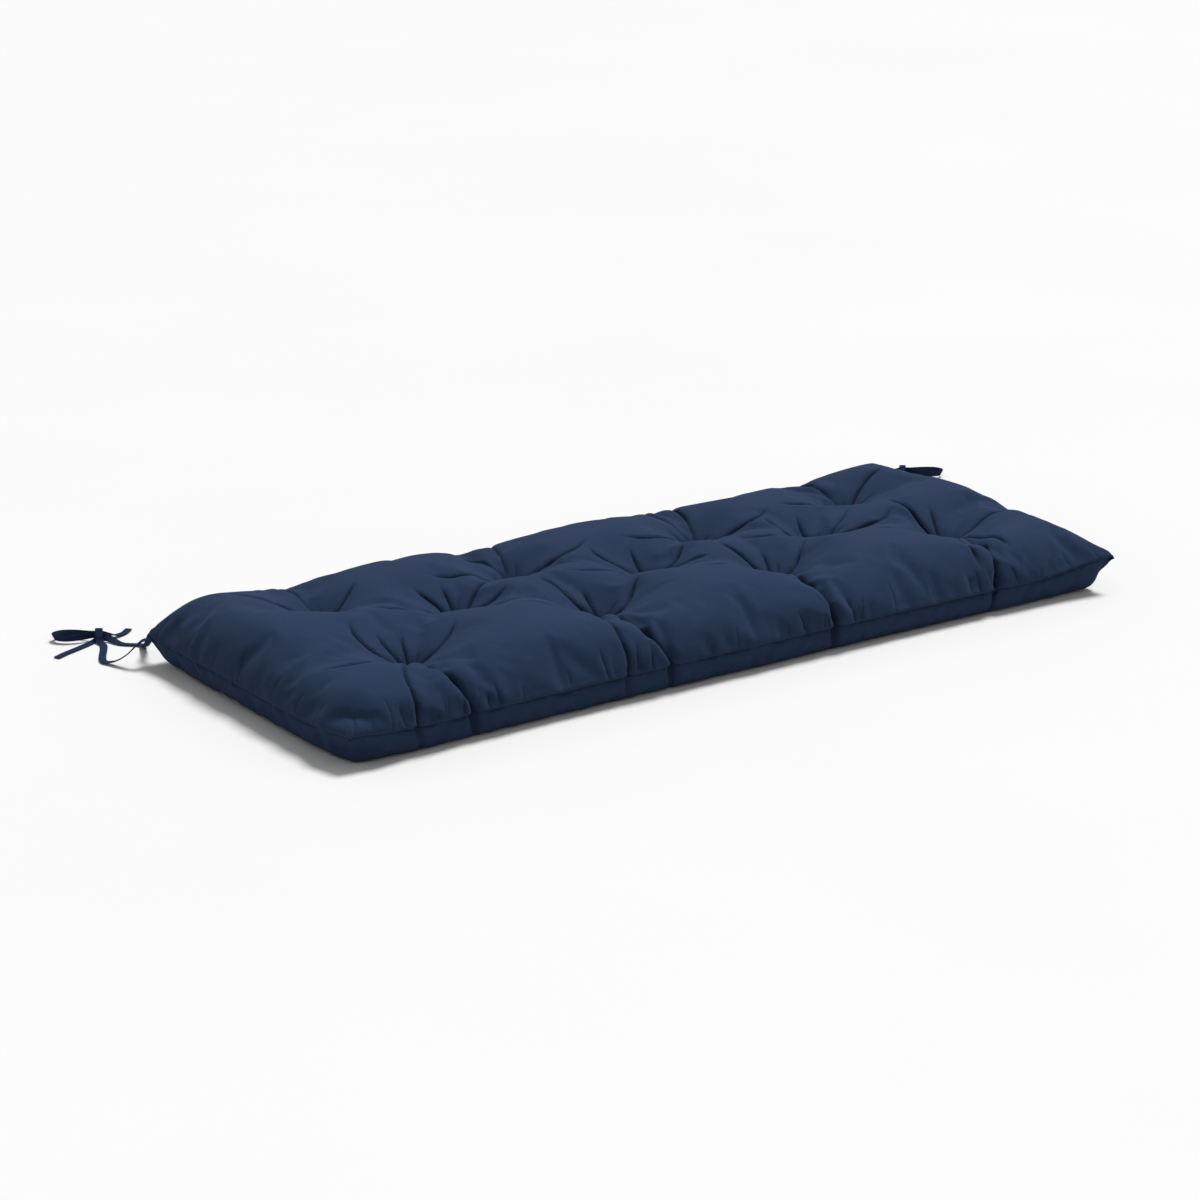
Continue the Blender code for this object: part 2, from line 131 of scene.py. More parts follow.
# The folds of the top panel, by tuft: each one's kind, then its points on the cloth as it lies open
FOLDS = {
    "front_1": [
        ("groove", (-0.399, -0.130), (-0.403, -0.165), (-0.401, -0.200), (-0.390, -0.232), (-0.385, -0.257)),
        ("branch", (-0.424, -0.138), (-0.448, -0.172), (-0.457, -0.205), (-0.459, -0.234), (-0.460, -0.257)),
        ("crease", (-0.418, -0.076), (-0.429, -0.044), (-0.422, -0.006)),
        ("crease", (-0.365, -0.099), (-0.339, -0.089), (-0.314, -0.071)),
        ("pleat", (-0.385, -0.068), (-0.375, -0.045)),
        ("pleat", (-0.401, -0.061), (-0.402, -0.032)),
        ("lip", (-0.434, -0.119), (-0.483, -0.127), (-0.532, -0.108)),
    ],
    "front_2": [
        ("groove", (-0.134, -0.125), (-0.138, -0.165), (-0.133, -0.205), (-0.119, -0.236), (-0.113, -0.257)),
        ("branch", (-0.155, -0.128), (-0.172, -0.170), (-0.175, -0.205), (-0.174, -0.234), (-0.176, -0.257)),
        ("crease", (-0.134, -0.047), (-0.136, -0.010), (-0.144, 0.029)),
        ("crease", (-0.097, -0.088), (-0.066, -0.068), (-0.041, -0.048)),
        ("pleat", (-0.118, -0.053), (-0.113, -0.024)),
        ("lip", (-0.164, -0.093), (-0.204, -0.081), (-0.248, -0.073)),
    ],
    "front_3": [
        ("groove", (0.133, -0.125), (0.126, -0.165), (0.121, -0.205), (0.124, -0.238), (0.127, -0.257)),
        ("side", (0.122, -0.118), (0.108, -0.150), (0.102, -0.195)),
        ("crease", (0.128, -0.051), (0.123, -0.021), (0.113, 0.011)),
        ("crease", (0.168, -0.074), (0.201, -0.049), (0.226, -0.029)),
        ("pleat", (0.146, -0.051), (0.155, -0.024)),
        ("lip", (0.095, -0.097), (0.050, -0.091), (0.011, -0.076)),
    ],
    "front_4": [
        ("groove", (0.401, -0.122), (0.393, -0.165), (0.384, -0.205), (0.379, -0.235), (0.376, -0.257)),
        ("side", (0.384, -0.118), (0.366, -0.152), (0.358, -0.190), (0.356, -0.228)),
        ("side", (0.414, -0.122), (0.418, -0.160), (0.414, -0.205)),
        ("crease", (0.401, -0.041), (0.405, -0.001), (0.397, 0.034)),
        ("crease", (0.432, -0.094), (0.470, -0.090), (0.508, -0.098)),
        ("pleat", (0.415, -0.051), (0.432, -0.018)),
        ("lip", (0.361, -0.099), (0.322, -0.091), (0.283, -0.075)),
    ],
    "middle_1": [
        ("crease", (-0.265, 0.046), (-0.280, 0.082)),
        ("crease", (-0.235, 0.029), (-0.202, 0.051), (-0.180, 0.067)),
        ("crease", (-0.225, 0.011), (-0.185, 0.019)),
        ("pleat", (-0.249, 0.052), (-0.244, 0.079)),
        ("lip", (-0.301, -0.001), (-0.345, 0.006), (-0.382, 0.027)),
        ("lip", (-0.232, -0.023), (-0.187, -0.038), (-0.154, -0.064)),
    ],
    "middle_2": [
        ("crease", (-0.002, 0.035), (-0.019, 0.057), (-0.027, 0.087)),
        ("crease", (0.051, 0.017), (0.081, 0.035), (0.103, 0.052)),
        ("pleat", (0.019, 0.044), (0.027, 0.074)),
        ("crease", (0.053, -0.003), (0.088, -0.018)),
        ("lip", (-0.025, -0.003), (-0.070, -0.001), (-0.109, 0.020)),
    ],
    "middle_3": [
        ("crease", (0.252, 0.033), (0.241, 0.055), (0.240, 0.085)),
        ("crease", (0.305, 0.018), (0.335, 0.035), (0.355, 0.052)),
        ("pleat", (0.275, 0.045), (0.286, 0.072)),
        ("lip", (0.229, -0.005), (0.185, -0.003), (0.146, 0.015)),
        ("lip", (0.311, -0.011), (0.356, -0.016), (0.389, 0.002)),
    ],
    "rear_1": [
        ("notch", (-0.392, 0.135), (-0.398, 0.180), (-0.400, 0.220), (-0.402, 0.257)),
        ("crease", (-0.420, 0.116), (-0.454, 0.141), (-0.489, 0.163)),
        ("crease", (-0.362, 0.108), (-0.327, 0.129)),
    ],
    "rear_2": [
        ("notch", (-0.131, 0.131), (-0.140, 0.165), (-0.152, 0.205), (-0.160, 0.257)),
        ("notch", (-0.120, 0.126), (-0.108, 0.160), (-0.098, 0.205), (-0.092, 0.257)),
        ("lip", (-0.169, 0.083), (-0.215, 0.085), (-0.254, 0.107)),
        ("lip", (-0.091, 0.085), (-0.044, 0.088), (-0.008, 0.107)),
    ],
    "rear_3": [
        ("notch", (0.145, 0.128), (0.138, 0.165), (0.128, 0.205), (0.120, 0.257)),
        ("notch", (0.158, 0.122), (0.170, 0.155), (0.180, 0.205), (0.186, 0.257)),
        ("lip", (0.105, 0.079), (0.060, 0.081), (0.021, 0.100)),
        ("lip", (0.187, 0.081), (0.232, 0.084), (0.268, 0.103)),
    ],
    "rear_4": [
        ("notch", (0.395, 0.136), (0.391, 0.170), (0.384, 0.210), (0.378, 0.257)),
        ("crease", (0.424, 0.120), (0.462, 0.135), (0.499, 0.137)),
        ("lip", (0.353, 0.089), (0.312, 0.092), (0.275, 0.110)),
    ],
}

# Each kind of fold: its crease's depth and width, how far its sides are drawn together, and its lean
FOLD_KINDS = {
    # kind: depth, width, pinch, lean, runs on to the seam
    "groove": (0.032, 0.016, 0.45, 0.12, True),
    "branch": (0.016, 0.011, 0.45, 0.12, True),
    "notch": (0.013, 0.014, 0.45, 0.00, True),
    "crease": (0.0125, 0.010, 0.40, 0.00, False),
    "side": (0.0150, 0.010, 0.45, 0.12, False),
    "lip": (0.0080, 0.009, 0.35, 0.00, False),
    "pleat": (0.0070, 0.008, 0.35, 0.00, False),
}
FOLD_STEP = 0.006

# How much of a fold that runs on to the seam there is at its tuft, and how it grows on the way
TOP_SHARE = 0.20
OPEN_POWER = 1.3

# Cloth simulation of the cover
CELL = 0.0075
RIM_ROWS = 7
FRAMES = 18
CLOTH = {
    "mass": 0.2,
    "tension_stiffness": 15.0,
    "compression_stiffness": 15.0,
    "shear_stiffness": 5.0,
    "bending_model": "ANGULAR",
    "bending_stiffness": 0.3,
    "use_pressure": True,
    "uniform_pressure_force": 2.0,
    "shrink_min": -0.032,
}
MOST_MOVEMENT = 0.022
TUFT_HOLD = 0.006
SEAM_HOLD = 0.6
FLAT_UNDER = 0.002
FLAT_INSET = 0.05

# The fine form: cells in each cell of the simulated cloth, and the faces kept in the end
FINE = 4
TRIANGLES = 195000

# A crease: how blunt its bottom is, how it starts and fades, how its sides are drawn in, and how creases join
CREASE_BLUNT = 0.0007
CREASE_START = 0.014
CREASE_LEAD = 0.3
CREASE_FADE = 0.35
CREASE_JOIN = 3.0
CREASE_MARGIN = 1.5
PINCH_REACH = 0.6

# The line at the bottom of a crease: its share of the depth, and how wide it is
LINE_SHARE = 0.45
LINE_WIDTH = 0.0018

# Painted shade along the bottom of each crease and along the seam valley, darkening the cloth's colour there:
# its width, the depth from which it is bold, and its map's reach
PAINTED_LINE_WIDTH = 0.0015
PAINTED_LINE_DEPTH = 0.009
PAINTED_LINE_SHADE = 0.85
LINE_REACH = 0.005
LINE_FADE = 0.002
LINE_RELIEF = 0.0016
# Painted shade on the rows of cloth along the seam valley, darkest at the seam itself
SEAM_SHADE_ROWS = [
    # row from the seam, boldness of its painted shade
    (2, 0.30),
    (1, 0.80),
    (0, 0.90),
]

# Small creases in a fan around each tuft
FAN_COUNT = 11
FAN_LENGTH = (0.020, 0.050)
FAN_DEPTH = (0.0015, 0.0040)
FAN_WIDTH = (0.006, 0.010)
FAN_JITTER = 0.35
FAN_BEND = 25.0
FAN_PINCH = 0.35
FAN_STEPS = 8

# Puckers that cross the seam: many beside each fold that reaches it, and a few between
PUCKERS_BY_FOLD = 5
PUCKER_SPREAD = 0.055
PUCKER_STEP = (0.030, 0.075)
PUCKER_LENGTH = (0.016, 0.050)
PUCKER_DEPTH = (0.0018, 0.0046)
PUCKER_WIDTH = (0.005, 0.010)
SPARSE_SHARE = 0.5
PUCKER_TILT = 14.0
PUCKER_BEND = 20.0
PUCKER_PINCH = 0.3
PUCKER_STEPS = 6
NEAR_SEAM = 0.01
CORNER_GAP = 0.03

# The seed of the random order of the fans and puckers
SEED = 11

# The seam lies in a narrow valley: how deep it is, and how the rows of cloth beside it are drawn to it
SEAM_VALLEY = 0.0030
SEAM_ROWS = [
    # row, share of the way to the seam, out of the valley
    (1, 0.58, -0.0004),
    (2, 0.30, 0.0008),
    (3, 0.12, 0.0006),
    (4, 0.00, 0.0003),
]

# Thread: the stitches along the seam and the strands that hold each tuft
STITCH_PITCH = 0.0034
STITCH_LENGTH = 0.0024
STITCH_RADIUS = 0.00033
STITCH_RISE = 0.0016
STITCH_DIP = 0.0007
STITCH_SHAPE = [(0.0, 1.0), (0.25, 0.0), (0.75, 0.0), (1.0, 1.0)]  # share of its length, share of its dip
STRAND_RADIUS = 0.00045
STRAND_SHAPE = [(-1.0, -1.0), (-0.5, 0.4), (0.5, 0.4), (1.0, -1.0)]  # share of its half length and height
STRANDS = [
    # across the tuft, half length, height
    (-0.0012, 0.0040, 0.0008),
    (0.0000, 0.0046, 0.0011),
    (0.0013, 0.0038, 0.0008),
]
THREAD_SIDES = 6

# The tapes of the ties
TAPE_STEP = 0.0016
CURVE_POINTS = 12

# Each bow's knot, and the direction in which its loop lies, in degrees from +X
BOWS = [
    # name, knot x, knot y, loop direction, side of the loop that the corner is on
    ("left", -0.566, 0.334, 145, 1),
    ("right", 0.680, 0.326, -35, -1),
]

# From the corner to the knot, in the cushion's own axes
RUNS = {
    # x, y, z
    "left_looped": [
        (-0.545, 0.2264, 0.0335), (-0.544, 0.238, 0.031), (-0.541, 0.255, 0.014),
        (-0.537, 0.272, 0.0038), (-0.534, 0.286, 0.0016),
    ],
    "left_wrapped": [
        (-0.559, 0.215, 0.0335), (-0.569, 0.219, 0.0305), (-0.583, 0.230, 0.0135),
        (-0.593, 0.244, 0.0038), (-0.597, 0.262, 0.0015),
    ],
    "right_looped": [
        (0.545, 0.2262, 0.0405), (0.548, 0.238, 0.037), (0.556, 0.256, 0.015),
        (0.567, 0.271, 0.0038), (0.584, 0.288, 0.0016),
    ],
    "right_wrapped": [
        (0.559, 0.215, 0.0405), (0.570, 0.216, 0.036), (0.588, 0.220, 0.015),
        (0.604, 0.226, 0.0038), (0.624, 0.236, 0.0016),
    ],
}

# The rest of each tape, in the bow's own axes: along its loop, across towards the corner's side, and up,
# and then the way that its face looks, in the same axes
BOW_TAPES = {
    "looped": [
        (-0.030, 0.016, 0.0013, 0, 0, 1),
        (-0.014, 0.005, 0.0040, 0, 0.7, 0.7),
        (0.000, 0.0018, 0.0078, 0, 1, 0.1),
        (0.012, -0.0025, 0.0070, 0, 1, 0.2),
        (0.028, -0.009, 0.0060, -0.2, 1, 0.4),
        (0.044, -0.010, 0.0056, -0.5, 0.8, 0.5),
        (0.053, -0.003, 0.0054, -1, 0.2, 0.5),
        (0.051, 0.006, 0.0054, -0.9, -0.5, 0.5),
        (0.038, 0.0105, 0.0056, -0.3, -1, 0.5),
        (0.022, 0.0075, 0.0064, 0.2, -1, 0.3),
        (0.010, 0.002, 0.0074, 0.2, -1, 0.1),
        (0.000, -0.0020, 0.0078, 0, -1, 0.1),
        (-0.009, -0.005, 0.0062, -0.2, -0.9, 0.5),
        (-0.019, -0.012, 0.0028, -0.2, -0.4, 1),
        (-0.027, -0.024, 0.0013, 0, 0, 1),
        (-0.031, -0.040, 0.0012, 0, 0, 1),
    ],
    "wrapped": [
        (-0.010, 0.026, 0.0012, 0, 0, 1),
        (-0.004, 0.013, 0.0022, 0, 0.5, 1),
        (-0.002, 0.0080, 0.0085, 0, 1, 0.2),
        (-0.001, 0.000, 0.0150, 0, 0, 1),
        (0.000, -0.0080, 0.0095, 0, -1, 0.1),
        (0.001, -0.0072, 0.0030, 0, -1, -0.6),
        (0.002, -0.003, 0.0013, 0, 0, -1),
        (0.005, 0.006, 0.0012, 0, 0, -1),
        (0.011, 0.018, 0.0012, 0, 0, -1),
        (0.021, 0.034, 0.0012, 0, 0, -1),
        (0.032, 0.051, 0.0012, 0, 0, -1),
        (0.040, 0.066, 0.0012, 0, 0, -1),
    ],
}

# Half of a tape's cross-section, from its edge to its middle: a turned edge, the sewn line, and the flat
TAPE_PROFILE = [
    # out from the middle, half thickness
    (0.0045, 0.0),
    (0.00437, 0.0003),
    (0.00405, 0.00052),
    (0.00365, 0.00055),
    (0.0033, 0.00036),
    (0.00295, 0.00053),
    (0.0018, 0.0006),
]

TINY = 1e-9

# Colours
NAVY = (0.0165, 0.0298, 0.0650, 1.0)
NAVY_DEEP = (0.0112, 0.0206, 0.0480, 1.0)
TAPE_NAVY = (0.0110, 0.0200, 0.0500, 1.0)
TAPE_NAVY_DEEP = (0.0065, 0.0120, 0.0320, 1.0)
THREAD_NAVY = (0.0180, 0.0300, 0.0680, 1.0)

# Cloth: its yarns, its sheen, and how much uneven yarns, worn patches and the weave vary its shade
YARN_PITCH = 0.00055
COTTON_SHEEN = 0.06
TAPE_SHEEN = 0.05
SHEEN_ROUGHNESS = 0.45
SHEEN_TINT = (0.40, 0.58, 1.0, 1.0)
CLOTH_ROUGHNESS = 0.74
SLUB_ROUGHNESS = 0.2
SLUB_SHADE = 1.1
PATCH_SHADE = 0.55
WEAVE_SHADE = 0.22
DEEP_STOP = 0.62
SLUB_STRETCH = (1500.0, 60.0)

# Relief of the cloth: its crumple and its yarns, each a strength and a height in metres
CRUMPLE = (0.35, 0.0012)
YARNS = (0.5, 0.00018)
SLUB_RELIEF = 1.5

# Noise: scale, detail and roughness
SLUB_NOISE = (1.0, 3.0, 0.6)
PATCH_NOISE = (7.0, 5.0, 0.62)
CRUMPLE_NOISE = (55.0, 4.0, 0.55)
FIBRE_NOISE = (2600.0, 3.0)
FLOOR_NOISE = (1.5, 3.0)

# How much each surface shines, and how rough the thread and the floor are
CLOTH_SPECULAR = 0.04
THREAD_SPECULAR = 0.2
THREAD_ROUGHNESS = 0.62
FLOOR_SPECULAR = 0.15
FLOOR_ROUGHNESS = 0.7

# Floor: its tone and how uneven that is, its size, and how far under the cushion it lies
FLOOR_TONE = 0.60
FLOOR_VARIATION = 0.02
FLOOR_SIZE = 80.0
FLOOR_DROP = 0.0005


def smooth_step(value):
    value = np.clip(value, 0.0, 1.0)
    return value * value * (3.0 - 2.0 * value)


def unit(vectors):
    """Vectors of length one. Those of no length stay as they are."""
    length = np.linalg.norm(vectors, axis=-1, keepdims=True)
    return vectors / np.where(length > 0.0, length, 1.0)


def lengths_along(points):
    """How far along its line each point is."""
    return np.concatenate([[0.0], np.cumsum(np.linalg.norm(np.diff(points, axis=0), axis=1))])


def rows_at(places, along, rows):
    """Rows read straight between those given, at lengths along their line."""
    return np.stack([np.interp(places, along, column) for column in rows.T], axis=1)


def rows_from_seam(row):
    """The four rows of a grid that lie this many cells in from its edges."""
    return np.s_[:, row], np.s_[:, -1 - row], np.s_[row, :], np.s_[-1 - row, :]


def new_object(name, data):
    made = bpy.data.objects.new(name, data)
    bpy.context.scene.collection.objects.link(made)
    return made


def evaluated_mesh(piece):
    return bpy.data.meshes.new_from_object(piece.evaluated_get(bpy.context.evaluated_depsgraph_get()))


def add_camera():
    data = bpy.data.cameras.new("camera")
    data.sensor_width = SENSOR
    data.lens = CAMERA_LENS
    camera = new_object("camera", data)
    place = Matrix.Translation(CAMERA_PLACE)
    for angle, axis in ((CAMERA_TURN, "Z"), (CAMERA_TILT, "X"), (CAMERA_ROLL, "Z")):
        place = place @ Matrix.Rotation(math.radians(angle), 4, axis)
    camera.matrix_world = place
    bpy.context.scene.camera = camera


def tape_route(side, kind, knot_x, knot_y, direction, corner_side):
    """Rows of a tape's own points from the seam to its free end, and the way its face looks at each."""
    angle = math.radians(direction)
    along = np.array([math.cos(angle), math.sin(angle), 0.0])
    across = np.array([-math.sin(angle), math.cos(angle), 0.0]) * corner_side
    up = np.array([0.0, 0.0, 1.0])
    knot = np.array([knot_x, knot_y, 0.0])
    route = [np.append(point, up) for point in RUNS[side + "_" + kind]]
    for forward, sideways, height, *face in BOW_TAPES[kind]:
        point = knot + forward * along + sideways * across + height * up
        route.append(np.append(point, face[0] * along + face[1] * across + face[2] * up))
    return np.array(route)


def smooth_route(route, step_length):
    """A smooth curve through the route's points, read off at even steps, and its length."""
    ends = np.vstack([2.0 * route[0] - route[1], route, 2.0 * route[-1] - route[-2]])
    fine = []
    for before, start, end, after in zip(ends, ends[1:], ends[2:], ends[3:]):
        for t in np.linspace(0.0, 1.0, CURVE_POINTS, endpoint=False):
            bend = 2.0 * before - 5.0 * start + 4.0 * end - after
            twist = 3.0 * start - before - 3.0 * end + after
            fine.append(0.5 * (2.0 * start + (end - before) * t + bend * t**2 + twist * t**3))
    fine = np.array(fine + [route[-1]])
    along = lengths_along(fine[:, :3])
    places = np.linspace(0.0, along[-1], int(round(along[-1] / step_length)))
    return rows_at(places, along, fine), along[-1]


def tape_section():
    """The closed cross-section of a tape, as rows of out and up."""
    right = np.array(TAPE_PROFILE)
    left = right[::-1] * (-1.0, 1.0)
    upper = np.vstack([right, left])
    lower = upper[::-1][1:-1] * (1.0, -1.0)
    return np.vstack([upper, lower])


def tube_faces(first, rings, sides):
    """The faces of a closed tube of rings of points, counted from the first point, with its two ends."""
    faces = []
    for k in range(rings - 1):
        at = first + k * sides
        for m in range(sides):
            n = (m + 1) % sides
            faces.append((at + m, at + n, at + sides + n, at + sides + m))
    last = first + (rings - 1) * sides
    faces.append(tuple(range(first, first + sides))[::-1])
    faces.append(tuple(range(last, last + sides)))
    return faces


def tape_mesh(name, rows):
    """A flat tape along the rows, its face turned as the rows say, and its map of lengths along the cloth."""
    points, faces = rows[:, :3], rows[:, 3:]
    tangents = unit(np.gradient(points, axis=0))
    faces = unit(faces - tangents * np.sum(faces * tangents, axis=1, keepdims=True))
    widths = np.cross(tangents, faces)
    section = tape_section()
    rings = (
        points[:, None]
        + widths[:, None] * section[None, :, :1]
        + faces[:, None] * section[None, :, 1:]
    )
    data = bpy.data.meshes.new(name)
    data.from_pydata(rings.reshape(-1, 3).tolist(), [], tube_faces(0, len(rows), len(section)))
    along = lengths_along(points)
    sheet = np.stack(np.broadcast_arrays(along[:, None], section[None, :, 0]), axis=-1).reshape(-1, 2)
    write_map(data, "sheet", sheet)
    data.shade_smooth()
    return data


def write_map(data, name, rows):
    """A UV map from one row for each vertex. The one named sheet is in metres along the cloth."""
    layer = data.uv_layers.new(name=name, do_init=False)
    corners = np.zeros(len(data.loops), np.int32)
    data.loops.foreach_get("vertex_index", corners)
    layer.uv.foreach_set("vector", rows[corners].astype(np.float32).ravel())


def feed(tree, made, inputs):
    """Set a node's inputs, each to a value or to another node's output."""
    for name, value in inputs.items():
        if isinstance(value, bpy.types.NodeSocket):
            tree.links.new(value, made.inputs[name])
        else:
            made.inputs[name].default_value = value


def node(tree, kind, inputs, **settings):
    """A shader node with its settings and its inputs."""
    made = tree.nodes.new("ShaderNode" + kind)
    for name, value in settings.items():
        setattr(made, name, value)
    feed(tree, made, inputs)
    return made


def maths(tree, operation, first, second=0.0):
    """A Math node on two values, each a number or a socket. Some operations take the first alone."""
    return node(tree, "Math", {0: first, 1: second}, operation=operation).outputs["Value"]


def map_of(tree, name):
    return node(tree, "UVMap", {}, uv_map=name).outputs["UV"]


def object_place(tree):
    return node(tree, "TexCoord", {}).outputs["Object"]


def woven_height(tree, sheet):
    """Height of a plain weave: one yarn over, one under, in cells of a yarn's pitch."""
    apart = node(tree, "SeparateXYZ", {0: sheet})
    cells = [maths(tree, "DIVIDE", apart.outputs[axis], YARN_PITCH) for axis in "XY"]
    both = maths(tree, "ADD", *[maths(tree, "FLOOR", cell) for cell in cells])
    over = maths(tree, "PINGPONG", both, 1.0)
    waves = [maths(tree, "SINE", maths(tree, "MULTIPLY", cell, math.pi)) for cell in cells]
    warp, weft = [maths(tree, "ABSOLUTE", wave) for wave in waves]
    return node(tree, "Mix", {"Factor": over, "A": warp, "B": weft}, data_type="FLOAT").outputs["Result"]


def noise_of(tree, vector, scale, detail, roughness=0.5, stretch=None):
    """The value of a noise texture, on coordinates that may be stretched along an axis."""
    if stretch is not None:
        vector = node(tree, "Mapping", {"Vector": vector, "Scale": stretch}).outputs["Vector"]
    inputs = {"Vector": vector, "Scale": scale, "Detail": detail, "Roughness": roughness}
    return node(tree, "TexNoise", inputs).outputs["Fac"]


def colour_ramp(tree, factor, *stops):
    """A colour between two stops, each a place and a colour."""
    ramp = node(tree, "ValToRGB", {"Fac": factor})
    for element, (place, colour) in zip(ramp.color_ramp.elements, stops):
        element.position = place
        element.color = colour
    return ramp.outputs["Color"]


def relief(tree, height, strength, distance, below=None, invert=False):
    """A relief in the shading, on top of the one below it."""
    bump = node(tree, "Bump", {"Height": height, "Strength": strength, "Distance": distance}, invert=invert)
    if below is not None:
        feed(tree, bump, {"Normal": below})
    return bump.outputs["Normal"]


def painted_crease_shade(tree):
    """How strongly each place of the cover gets painted shade along a crease line or the seam, from its map
    of them.
    """
    lines = node(tree, "SeparateXYZ", {0: map_of(tree, "lines")})
    near = maths(tree, "ABSOLUTE", lines.outputs["X"])
    narrow = maths(tree, "POWER", math.exp(-LINE_REACH / PAINTED_LINE_WIDTH), near)
    return maths(tree, "MULTIPLY", narrow, lines.outputs["Y"])


def with_painted_shade(tree, colour, painted_shade, share):
    """A colour made darker by painted shade, by its strength times the share."""
    kept = maths(tree, "SUBTRACT", 1.0, maths(tree, "MULTIPLY", painted_shade, share))
    return node(tree, "VectorMath", {0: colour, "Scale": kept}, operation="SCALE").outputs["Vector"]


def new_material(name):
    """A material, its node tree and its shader."""
    material = bpy.data.materials.new(name)
    material.use_nodes = True
    return material, material.node_tree, material.node_tree.nodes["Principled BSDF"]


def cloth_material(name, colour, deep_colour, sheen, crease_shade_share=0.0):
    """Woven cotton, matt with a soft sheen. Its yarns follow the sheet's own coordinates."""
    material, tree, shader = new_material(name)
    sheet = map_of(tree, "sheet")
    place = object_place(tree)
    weave = woven_height(tree, sheet)
    warp_slubs = noise_of(tree, sheet, *SLUB_NOISE, (*SLUB_STRETCH, 1.0))
    weft_slubs = noise_of(tree, sheet, *SLUB_NOISE, (*SLUB_STRETCH[::-1], 1.0))
    slubs = maths(tree, "MULTIPLY", maths(tree, "ADD", warp_slubs, weft_slubs), 0.5)
    patches = maths(tree, "MULTIPLY", noise_of(tree, place, *PATCH_NOISE), PATCH_SHADE)
    shade = maths(tree, "ADD", maths(tree, "MULTIPLY", slubs, SLUB_SHADE), patches)
    shade = maths(tree, "ADD", shade, maths(tree, "MULTIPLY", weave, WEAVE_SHADE))
    shown = colour_ramp(tree, shade, (DEEP_STOP, deep_colour), (1.0, colour))
    form = None
    # Painted shade along the creases and the seam valley: the colour is made darker there, and a relief sinks
    # along the same lines
    if crease_shade_share:
        painted_shade = painted_crease_shade(tree)
        shown = with_painted_shade(tree, shown, painted_shade, crease_shade_share)
        form = relief(tree, painted_shade, 1.0, LINE_RELIEF, invert=True)
    form = relief(tree, noise_of(tree, place, *CRUMPLE_NOISE), *CRUMPLE, form)
    raised = maths(tree, "ADD", weave, maths(tree, "MULTIPLY", slubs, SLUB_RELIEF))
    feed(tree, shader, {
        "Base Color": shown,
        "Roughness": maths(tree, "ADD", maths(tree, "MULTIPLY", slubs, SLUB_ROUGHNESS), CLOTH_ROUGHNESS),
        "Specular IOR Level": CLOTH_SPECULAR,
        "Sheen Weight": sheen,
        "Sheen Roughness": SHEEN_ROUGHNESS,
        "Sheen Tint": SHEEN_TINT,
        "Normal": relief(tree, raised, *YARNS, form),
    })
    return material


def thread_material():
    """Twisted thread, a little lighter than the cloth."""
    material, tree, shader = new_material("navy_thread")
    fibres = noise_of(tree, object_place(tree), *FIBRE_NOISE)
    feed(tree, shader, {
        "Base Color": colour_ramp(tree, fibres, (0.3, NAVY_DEEP), (0.7, THREAD_NAVY)),
        "Roughness": THREAD_ROUGHNESS,
        "Specular IOR Level": THREAD_SPECULAR,
    })
    return material


def floor_material():
    material, tree, shader = new_material("pale_floor")
    uneven = maths(tree, "MULTIPLY", noise_of(tree, object_place(tree), *FLOOR_NOISE), FLOOR_VARIATION)
    feed(tree, shader, {
        "Base Color": maths(tree, "ADD", uneven, FLOOR_TONE),
        "Roughness": FLOOR_ROUGHNESS,
        "Specular IOR Level": FLOOR_SPECULAR,
    })
    return material


def add_piece(name, data, material):
    piece = new_object(name, data)
    data.materials.append(material)
    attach(piece, "root")
    return piece


def add_ties(material):
    for side, knot_x, knot_y, direction, corner_side in BOWS:
        for kind in BOW_TAPES:
            name = f"tie_{side}_{kind}"
            route = tape_route(side, kind, knot_x, knot_y, direction, corner_side)
            rows, length = smooth_route(route, TAPE_STEP)
            tie = add_piece(name + "_tape", tape_mesh(name, rows), material)
            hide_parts(name)


def edge_curve(along, reach, arc):
    """How far in, and what share of the full height, the cloth is at a length along it from the seam."""
    turn = np.clip(along / arc, 0.0, 1.0) * math.pi / 2.0
    inset = reach * (1.0 - np.cos(turn)) + np.maximum(along - arc, 0.0)
    return inset, np.sin(turn)


def near_corner(x, y, side_x, side_y, reach):
    """From 1 at a corner of the seam to 0 at the reach from it."""
    far = np.hypot(x - side_x * LENGTH / 2.0, y - side_y * DEPTH / 2.0)
    return smooth_step(1.0 - far / reach)


def seam_height(x, y):
    """The seam rises towards the four corners."""
    height = np.full_like(x, SEAM_HEIGHT)
    for side_x, side_y, lift, _, _ in CORNERS:
        height += lift * near_corner(x, y, side_x, side_y, CORNER_REACH)
    return height


def tuft_pull(x, y, depth, spread):
    """The dip around every tuft, steep beside its stitch and easing out into the puffs."""
    dip = np.zeros_like(x)
    scale = math.log(1.0 + spread / TUFT_CORE)
    for tuft_x, tuft_y in TUFTS.values():
        far = np.hypot(x - tuft_x, y - tuft_y)
        far = far + LIP_STEEPNESS * (tuft_y - y)
        share = 1.0 - np.log(1.0 + far / TUFT_CORE) / scale
        dip = dip + depth * np.clip(share, 0.0, 1.0) ** TUFT_POWER
    return np.minimum(dip, depth)


def fold_paths():
    """Every fold's kind and the points along it."""
    paths = []
    for tuft, folds in FOLDS.items():
        for kind, *points in folds:
            path, _ = smooth_route(np.array([TUFTS[tuft], *points]), FOLD_STEP)
            paths.append((kind, path))
    return paths


